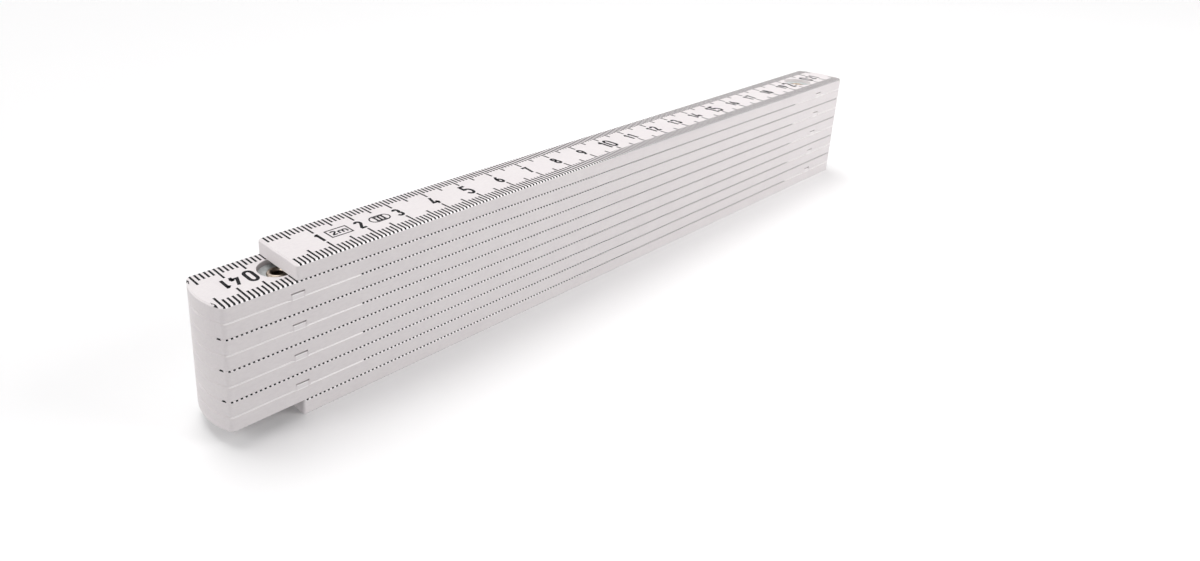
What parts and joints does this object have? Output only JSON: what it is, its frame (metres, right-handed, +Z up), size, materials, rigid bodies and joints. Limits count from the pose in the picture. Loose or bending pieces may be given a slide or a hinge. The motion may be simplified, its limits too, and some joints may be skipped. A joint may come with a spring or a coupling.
{
  "type": "folding rule",
  "caption": "Folding rule for carpentry: flat plastic links stacked and hinged at alternate ends with hollow rivets and dished spring washers, with a millimetre scale.",
  "frame": {"origin": "under the middle of the folded stack, on the underside of link_10", "axes": "+X along the links, with the zero end of the scale at -X; +Z up through the stack, with link_01 on top; hinge axes are along Z at x = +100 mm and x = -100 mm"},
  "size_m": [0.2346, 0.015, 0.0329],
  "materials": {
    "link_plastic": "white glass-fibre polyamide, fine satin moulding grain",
    "spring_steel": "stamped spring steel, blue-grey, satin",
    "rivet_metal": "nickel-plated tubular rivet, warm grey, worn bright on the rolled head",
    "scale_print": "black scale print, slightly satin"
  },
  "bodies": {
    "link_01": {"link_01": "link_plastic", "upper_spring_washer_01_02": "spring_steel"},
    "link_02": {"link_02": "link_plastic", "upper_spring_washer_02_03": "spring_steel", "lower_spring_washer_01_02": "spring_steel", "rivet_01_02": "rivet_metal"},
    "link_03": {"link_03": "link_plastic", "upper_spring_washer_03_04": "spring_steel", "lower_spring_washer_02_03": "spring_steel", "rivet_02_03": "rivet_metal"},
    "link_04": {"link_04": "link_plastic", "upper_spring_washer_04_05": "spring_steel", "lower_spring_washer_03_04": "spring_steel", "rivet_03_04": "rivet_metal"},
    "link_05": {"link_05": "link_plastic", "upper_spring_washer_05_06": "spring_steel", "lower_spring_washer_04_05": "spring_steel", "rivet_04_05": "rivet_metal"},
    "link_06": {"link_06": "link_plastic", "upper_spring_washer_06_07": "spring_steel", "lower_spring_washer_05_06": "spring_steel", "rivet_05_06": "rivet_metal"},
    "link_07": {"link_07": "link_plastic", "upper_spring_washer_07_08": "spring_steel", "lower_spring_washer_06_07": "spring_steel", "rivet_06_07": "rivet_metal"},
    "link_08": {"link_08": "link_plastic", "upper_spring_washer_08_09": "spring_steel", "lower_spring_washer_07_08": "spring_steel", "rivet_07_08": "rivet_metal"},
    "link_09": {"link_09": "link_plastic", "upper_spring_washer_09_10": "spring_steel", "lower_spring_washer_08_09": "spring_steel", "rivet_08_09": "rivet_metal"},
    "link_10": {"link_10": "link_plastic", "lower_spring_washer_09_10": "spring_steel", "rivet_09_10": "rivet_metal"}
  },
  "joints": [
    {"name": "hinge_09_10", "type": "hinge", "parent": "link_10", "child": "link_09", "pos_m": [0.1, 0, 0.0033], "axis": [0, 0, 1], "range_deg": [-180, 180]},
    {"name": "hinge_08_09", "type": "hinge", "parent": "link_09", "child": "link_08", "pos_m": [-0.1, 0, 0.0066], "axis": [0, 0, 1], "range_deg": [-180, 180]},
    {"name": "hinge_07_08", "type": "hinge", "parent": "link_08", "child": "link_07", "pos_m": [0.1, 0, 0.0099], "axis": [0, 0, 1], "range_deg": [-180, 180]},
    {"name": "hinge_06_07", "type": "hinge", "parent": "link_07", "child": "link_06", "pos_m": [-0.1, 0, 0.0132], "axis": [0, 0, 1], "range_deg": [-180, 180]},
    {"name": "hinge_05_06", "type": "hinge", "parent": "link_06", "child": "link_05", "pos_m": [0.1, 0, 0.0165], "axis": [0, 0, 1], "range_deg": [-180, 180]},
    {"name": "hinge_04_05", "type": "hinge", "parent": "link_05", "child": "link_04", "pos_m": [-0.1, 0, 0.0198], "axis": [0, 0, 1], "range_deg": [-180, 180]},
    {"name": "hinge_03_04", "type": "hinge", "parent": "link_04", "child": "link_03", "pos_m": [0.1, 0, 0.0231], "axis": [0, 0, 1], "range_deg": [-180, 180]},
    {"name": "hinge_02_03", "type": "hinge", "parent": "link_03", "child": "link_02", "pos_m": [-0.1, 0, 0.0264], "axis": [0, 0, 1], "range_deg": [-180, 180]},
    {"name": "hinge_01_02", "type": "hinge", "parent": "link_02", "child": "link_01", "pos_m": [0.1, 0, 0.0297], "axis": [0, 0, 1], "range_deg": [-180, 180]}
  ]
}
